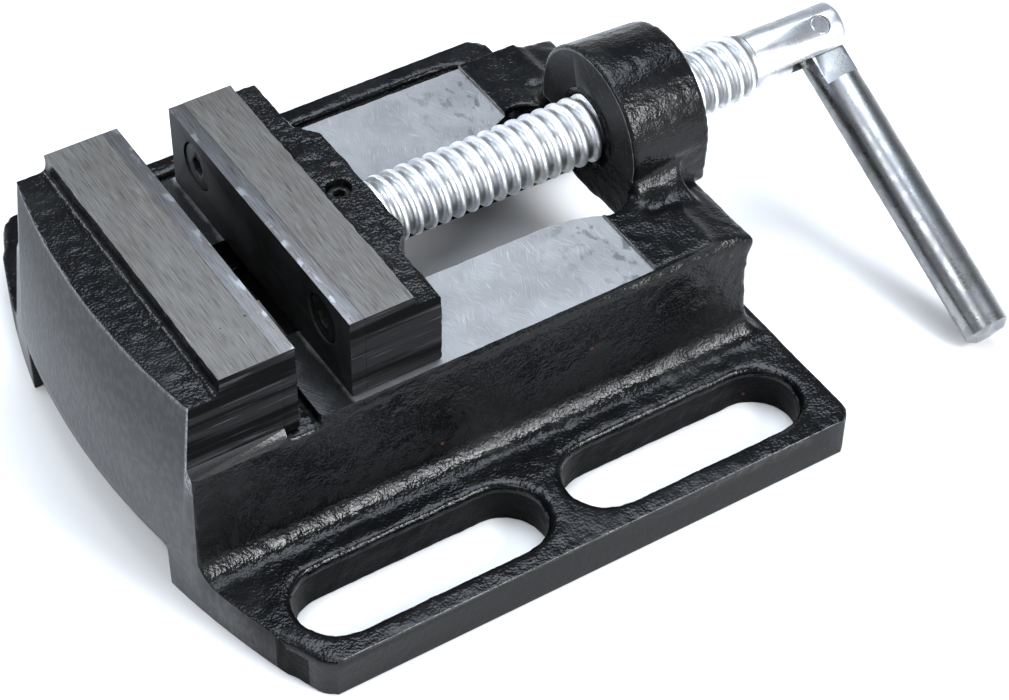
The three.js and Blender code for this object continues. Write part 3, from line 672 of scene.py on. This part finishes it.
MOVING_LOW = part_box("moving_jaw")[0] * 1000
MOVING_SEAT = MOVING_LOW.x
MOVING_GROUND_END = MOVING_SEAT + 11.8
MOVING_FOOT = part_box("moving_jaw_plate")[0].z * 1000
TONGUE_HALF = 16.4
TONGUE_FRONT = MOVING_SEAT + 1.0
GROOVE_X = 32.9
TIP_SEAT = 22.3
TIP_BORE = 6.6
RETAINER_BORE = 2.75
SCREW_BORE = 3.15
KEEPER_BOLT_X = 26.5
KEEPER_BOLT_Y = 9
PLATE_SCREW_Y = 28
PLATE_SCREW_Z = 52


def moving_stock(place):
    """Metal to machine off the seat, the sides and the top of the moving jaw."""
    return (-STOCK if place.x < MOVING_SEAT + 0.1 else 0,
            math.copysign(STOCK, place.y) if abs(place.y) > JAW_HALF - 0.1 else 0,
            STOCK if place.z > JAW_TOP - 0.1 else 0)


def moving_roughness(place):
    """Deeper above the plate's foot than on the tongue."""
    return 0.2 if place.z > MOVING_FOOT + 2 else 0.1


def upright_hole(x, y, z, radius):
    """A round cutter standing along Z."""
    hole = turned("cutter", [(z[0], radius), (z[1], radius)], 40, screw_black)
    stand = Matrix.Translation(Vector((x, y, 0)) / 1000) @ Matrix.Rotation(-math.pi / 2, 4, "Y")
    hole.data.transform(stand)
    return hole


def level_hole(x, y, z, radius):
    """A round cutter lying along X."""
    hole = turned("cutter", [(x[0], radius), (x[1], radius)], 48, screw_black)
    hole.data.transform(Matrix.Translation(Vector((0, y, z)) / 1000))
    return hole


moving_skin = cast_enamel("moving_jaw_enamel", 0.2, 0.13)
moving = modelled("moving_jaw", "moving_jaw_casting")
leave_stock(moving, [moving_stock])
cast_in_sand(moving, VOXEL * 0.75, 5, moving_skin, moving_roughness)
for cutter in [
    block((MOVING_SEAT - PAST, MOVING_GROUND_END + 0.5), (-FAR, FAR), (JAW_TOP, JAW_TOP + PAST),
          jaw_ground),
    block((MOVING_SEAT - PAST, MOVING_SEAT), (-FAR, FAR), (10, JAW_TOP + PAST), seat_milled),
    block((-PAST, 80), (JAW_HALF, FAR), (10, JAW_TOP + PAST), side_milled),
    block((-PAST, 80), (-FAR, -JAW_HALF), (10, JAW_TOP + PAST), side_milled),
    block((-PAST, 80), (TONGUE_HALF, FAR), (10, MOVING_FOOT), seat_milled),
    block((-PAST, 80), (-FAR, -TONGUE_HALF), (10, MOVING_FOOT), seat_milled),
    block((-PAST, TONGUE_FRONT), (-FAR, FAR), (10, MOVING_FOOT), seat_milled),
    block((-PAST, 80), (-FAR, FAR), (10, MOVING_LOW.z), seat_milled),
    level_hole((TIP_SEAT, 60), 0, SCREW_HEIGHT, TIP_BORE),
    upright_hole(GROOVE_X, 0, (SCREW_HEIGHT, OVER), RETAINER_BORE),
    upright_hole(KEEPER_BOLT_X, KEEPER_BOLT_Y, (10, 41), SCREW_BORE),
    upright_hole(KEEPER_BOLT_X, -KEEPER_BOLT_Y, (10, 41), SCREW_BORE),
    level_hole((10, 30), PLATE_SCREW_Y, PLATE_SCREW_Z, SCREW_BORE),
    level_hole((10, 30), -PLATE_SCREW_Y, PLATE_SCREW_Z, SCREW_BORE),
]:
    combine(moving, cutter)
dress(moving)
ride_as(moving, "moving_jaw", "black_casting", "moving_jaw")

# ---- Retaining screw and keeper ------------------------------------------------------------
# A small socket screw holds the spindle in the moving jaw. Under the ways a keeper plate hangs
# on two bolts with zinc washers and keeps the jaw down.


def bright_zinc(name, level, streak=(1, 1, 1), size=0.5, rough=0.2, groove_oil_and_shade=None):
    """Bright zinc plating: cloudy blue and straw tints over fine tool marks and specks, with grooves
    darkened partly by oil and partly as painted shade.
    """
    zinc = Finish(name, Metallic=1.0)
    marks = zinc.grain(size, stretch=streak, detail=3.0)
    clouds = zinc.grain(4, detail=3.0, shift=2.0).rise(0.38, 0.62)
    tint = zinc.grain(5, detail=2.0, shift=8.0).rise(0.5, 0.75)
    specks = 1 - zinc.pits(1.7, shift=3.0).rise(0.06, 0.14)
    tone = zinc.blend(clouds * 0.8, grey(level, 0.01), grey(level * 0.66, 0.04))
    tone = zinc.blend(tint * 0.6, tone, (level * 0.82, level * 0.88, level * 0.76, 1.0))
    tone = zinc.blend(marks.rise(0.55, 0.7) * 0.35, tone, grey(level * 0.5, 0.03))
    tone = zinc.blend(specks * 0.6, tone, grey(level * 0.25))
    # Painted shade with some oil: the thread's roots are darkened towards the axis.
    if groove_oil_and_shade:
        across = zinc.z - SCREW_HEIGHT
        radius = (zinc.y * zinc.y + across * across) ** 0.5
        tone = zinc.blend((1 - radius.rise(*groove_oil_and_shade)) * 0.85, tone, grey(0.12, 0.02))
    zinc.put({
        "Base_Color": tone,
        "Roughness": rough + 0.12 * marks + 0.08 * clouds,
        "Normal": zinc.relief(marks, 0.01),
    })
    return zinc.material


washer_zinc = bright_zinc("washer_zinc", 0.62)
keeper_black = blackened_steel("keeper_black", 0.014)
small_pieces = [("spindle_retaining_screw", screw_black, "black_steel"),
                ("keeper_plate", keeper_black, "black_steel")]
for side in ("near", "far"):
    small_pieces.append((f"keeper_washer_{side}", washer_zinc, "zinc_steel"))
    small_pieces.append((f"keeper_bolt_{side}", screw_black, "black_steel"))
for node, finish, slot in small_pieces:
    piece = modelled(node, node + "_fitted")
    crisp(piece, 0.15)
    piece.data.materials.append(finish)
    ride_as(piece, "moving_jaw", slot, node)

# ---- Spindle -------------------------------------------------------------------------------
# One bar of steel with a rolled right-hand thread whose crests are rounded, a plain grooved tip
# in the moving jaw, and a smooth head slotted for the handle. Bright zinc plated.

SPINDLE_LOW, SPINDLE_HIGH = [corner * 1000 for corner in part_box("spindle")]
PITCH = 3.6
CREST = 8.0
ROOT = 6.75
THREAD_START = 39.0
THREAD_END = 141.4
HEAD_RADIUS = 6.76
HEAD_END = SPINDLE_HIGH.x
PIN_X = HEAD_END - 6.4
PIN_RADIUS = 2.45
SLOT_HALF = 3.45
TIP_RADIUS = 6.4
GROOVE_RADIUS = 4.9
GROOVE_HALF = 2.2
HEAD_ROUND = 1.5
LEAD_IN = 1.6
RUN_OUT = 3.2
BESIDE = (-20, 20)  # a cutter's reach across the spindle or the handle
as_screwed = (Matrix.Translation((0, 0, SCREW_HEIGHT / 1000))
              @ Matrix.Rotation(math.radians(30), 4, "X"))


def rolled_thread(name, x0, x1, steps, finish):
    """A helical skin over at least x0 to x1, in step with the nut, closed at both ends."""
    crest = [(0.0, 0.86), (0.05, 0.97), (0.1, 1.0), (0.15, 1.0), (0.2, 1.0), (0.26, 0.97)]
    flank = [(0.31, 0.86), (0.36, 0.58), (0.42, 0.25), (0.49, 0.06), (0.65, 0.0), (0.81, 0.06)]
    stations = crest + flank + [(0.88, 0.25), (0.94, 0.58)]
    per_turn = len(stations)
    first = (math.floor(x0 / PITCH) - 1) * PITCH
    rows = math.ceil((x1 - first) / PITCH) * per_turn
    points = []
    for i in range(steps + 1):
        angle = 2 * math.pi * i / steps
        for j in range(rows + 1):
            share, rise = stations[j % per_turn]
            along = first + (j // per_turn + share + i / steps) * PITCH
            full = min(max((along - x0) / LEAD_IN, 0), 1) * min(max((x1 - along) / RUN_OUT, 0), 1)
            radius = ROOT + (CREST - ROOT) * rise * full
            points.append((along, radius * math.cos(angle), radius * math.sin(angle)))
    wide = rows + 1
    faces = []
    for i in range(steps):
        for j in range(rows):
            a = i * wide + j
            faces.append((a, a + wide, a + wide + 1, a + 1))
    skin = bare_mesh(name, points, faces, finish)
    work = bmesh.new()
    work.from_mesh(skin.data)
    bmesh.ops.remove_doubles(work, verts=work.verts, dist=1e-6)
    rims = [edge for edge in work.edges if edge.is_boundary]
    bmesh.ops.holes_fill(work, edges=rims, sides=0)
    bmesh.ops.triangulate(work, faces=[face for face in work.faces if len(face.verts) > 4])
    bmesh.ops.recalc_face_normals(work, faces=work.faces)
    work.to_mesh(skin.data)
    work.free()
    return skin


# The last range darkens the thread's roots: painted shade with some oil.
thread_zinc = bright_zinc("thread_zinc", 0.95, (1, 1, 1), 0.8, 0.35, (ROOT - 0.05, ROOT + 0.5))
head_zinc = bright_zinc("head_zinc", 0.8, (1, 14, 14), 0.25, 0.22)
spindle = rolled_thread("spindle_bar", THREAD_START, THREAD_END, 72, thread_zinc)
combine(spindle, block((THREAD_START - 40, THREAD_START), BESIDE, BESIDE, thread_zinc))
combine(spindle, block((THREAD_END, THREAD_END + 40), BESIDE, BESIDE, thread_zinc))
tip = turned("tip", [
    (SPINDLE_LOW.x, 5.6), (SPINDLE_LOW.x + 0.8, TIP_RADIUS),
    (GROOVE_X - GROOVE_HALF, TIP_RADIUS), (GROOVE_X - GROOVE_HALF, GROOVE_RADIUS),
    (GROOVE_X + GROOVE_HALF, GROOVE_RADIUS), (GROOVE_X + GROOVE_HALF, TIP_RADIUS),
    (THREAD_START + 1, TIP_RADIUS),
], 64, head_zinc)
round_off = [(HEAD_END - HEAD_ROUND + HEAD_ROUND * math.sin(a),
              HEAD_RADIUS - HEAD_ROUND + HEAD_ROUND * math.cos(a))
             for a in [math.radians(15 * k) for k in range(7)]]
head = turned("head", [(THREAD_END - 2, HEAD_RADIUS - 0.4), (THREAD_END - 0.9, HEAD_RADIUS)]
              + round_off, 96, head_zinc)
combine(head, block((PIN_X - 9.8, HEAD_END + 5), BESIDE, (-SLOT_HALF, SLOT_HALF), head_zinc))
pin_hole = turned("cutter", [(-9, PIN_RADIUS + 0.15), (9, PIN_RADIUS + 0.15)], 48, head_zinc)
pin_hole.data.transform(Matrix.Translation((PIN_X / 1000, 0, 0)) @ Matrix.Rotation(math.pi / 2, 4, "Y"))
combine(head, pin_hole)
crisp(head, 0.22, 38)
combine(spindle, tip, "UNION")
combine(spindle, head, "UNION")
spindle.data.transform(as_screwed)
dress(spindle, 40)
ride_as(spindle, "spindle", "zinc_steel", "spindle")

# ---- Handle and its pin --------------------------------------------------------------------
# A round zinc-plated bar, milled flat on two sides and rounded at its inner end, which swings on
# a pin riveted flush across the slot of the head.

HANDLE_RADIUS = 5.55
HANDLE_REACH = 82.4
FLAT_HALF = 3.2
FLAT_REACH = 13.0
HANDLE_TURN = 2.3 - 90

pin = turned("handle_pin_rivet", [(-6.46, PIN_RADIUS - 0.35), (-6.2, PIN_RADIUS), (6.2, PIN_RADIUS),
                                  (6.46, PIN_RADIUS - 0.35)], 48, washer_zinc)
pin.data.transform(as_screwed @ Matrix.Translation((PIN_X / 1000, 0, 0))
                   @ Matrix.Rotation(math.pi / 2, 4, "Y"))
dress(pin)
ride_as(pin, "spindle", "zinc_steel", "handle_pin")

handle_zinc = bright_zinc("handle_zinc", 0.29, (1, 20, 1), 0.3, 0.2)
bar_ends = [(-HANDLE_RADIUS - 0.5, HANDLE_RADIUS), (HANDLE_REACH - 1.8, HANDLE_RADIUS),
            (HANDLE_REACH - 1.2, HANDLE_RADIUS - 0.35), (HANDLE_REACH, HANDLE_RADIUS - 1.8)]
handle = turned("handle_bar", bar_ends, 96, handle_zinc)
for side in (-1, 1):
    z = sorted((side * FLAT_HALF, side * 20))
    combine(handle, block((-20, FLAT_REACH), BESIDE, z, handle_zinc))
eye_round = turned("round", [(-20, HANDLE_RADIUS), (20, HANDLE_RADIUS)], 96, handle_zinc)
eye_round.data.transform(Matrix.Rotation(math.pi / 2, 4, "Y"))
keep = block((0, 200), BESIDE, BESIDE, handle_zinc)
combine(keep, eye_round, "UNION")
combine(handle, keep, "INTERSECT")
eye = turned("cutter", [(-9, PIN_RADIUS + 0.2), (9, PIN_RADIUS + 0.2)], 48, handle_zinc)
eye.data.transform(Matrix.Rotation(math.pi / 2, 4, "Y"))
combine(handle, eye)
crisp(handle, 0.2, 38)
handle.data.transform(as_screwed @ Matrix.Translation((PIN_X / 1000, 0, 0))
                      @ Matrix.Rotation(math.radians(HANDLE_TURN), 4, "Z"))
ride_as(handle, "handle", "zinc_steel", "handle")

# ---- Floor, light and camera ---------------------------------------------------------------
# A pale matt table under a soft light tent, seen from above the near front corner.


def lamp(name, place, target, size, power, colour):
    """A softbox of size metres at a place, facing its target."""
    light = bpy.data.lights.new(name, "AREA")
    light.shape = "RECTANGLE"
    light.size, light.size_y = size
    light.energy = power
    light.color = colour
    made = bpy.data.objects.new(name, light)
    made.location = place
    made.rotation_euler = (Vector(target) - Vector(place)).to_track_quat("-Z", "Y").to_euler()
    bpy.context.scene.collection.objects.link(made)


paper = Finish("pale_floor", Roughness=0.9)
mottle = paper.grain(40, detail=3.0)
paper.put({"Base_Color": paper.blend(mottle, grey(0.72), grey(0.76))})
FLOOR_HALF = 3000
FLOOR_Z = -0.3
corners = [(-FLOOR_HALF, -FLOOR_HALF, FLOOR_Z), (FLOOR_HALF, -FLOOR_HALF, FLOOR_Z),
           (FLOOR_HALF, FLOOR_HALF, FLOOR_Z), (-FLOOR_HALF, FLOOR_HALF, FLOOR_Z)]
floor = bare_mesh("floor", corners, [(0, 1, 2, 3)], paper.material)

world = bpy.data.worlds.new("light_tent")
world.use_nodes = True
tent = world.node_tree.nodes
way_up = tent.new("ShaderNodeSeparateXYZ")
wall = tent.new("ShaderNodeValToRGB")
wall.color_ramp.elements[0].position = 0.12
wall.color_ramp.elements[0].color = (0.86, 0.88, 0.92, 1.0)
wall.color_ramp.elements[1].position = 0.5
wall.color_ramp.elements[1].color = (0.22, 0.24, 0.27, 1.0)
around = tent.new("ShaderNodeTexCoord")
world.node_tree.links.new(around.outputs["Generated"], way_up.inputs[0])
world.node_tree.links.new(way_up.outputs["Z"], wall.inputs[0])
world.node_tree.links.new(wall.outputs["Color"], tent["Background"].inputs["Color"])
bpy.context.scene.world = world
lamp("top_softbox", (0.22, 0.16, 0.9), (0.03, 0, 0.02), (0.62, 0.62), 11, (0.82, 0.9, 1.0))
lamp("left_softbox", (-0.4, -0.2, 0.75), (0.03, 0, 0.02), (0.4, 0.4), 3.5, (0.95, 0.97, 1.0))
lamp("front_softbox", (0.36, -0.62, 0.52), (0.05, 0, 0.02), (0.32, 0.16), 7.0, (0.95, 0.97, 1.0))
lamp("low_softbox", (0.36, -0.78, 0.3), (0.05, 0, 0.02), (0.26, 0.12), 2.4, (0.95, 0.97, 1.0))
lamp("rear_softbox", (-0.35, 0.6, 0.5), (0.04, 0, 0.03), (0.3, 0.3), 2.6, (0.85, 0.92, 1.0))

forward = Vector((0.38564, 0.59533, -0.70490)).normalized()
sideways = Vector((0.83930, -0.54367, 0.0)).normalized()
upward = sideways.cross(forward)
roll = math.radians(0.87)
right = sideways * math.cos(roll) + upward * math.sin(roll)
upright = upward * math.cos(roll) - sideways * math.sin(roll)
lens = bpy.data.cameras.new("camera")
lens.sensor_width = 36
lens.lens = 95.02
lens.shift_x = -0.0034
lens.shift_y = -0.0070
camera = bpy.data.objects.new("camera", lens)
turn = Matrix((right, upright, -forward)).transposed().to_4x4()
camera.matrix_world = Matrix.Translation((-0.16958, -0.38039, 0.43805)) @ turn
bpy.context.scene.collection.objects.link(camera)
bpy.context.scene.camera = camera
bpy.context.scene.view_settings.view_transform = "Standard"
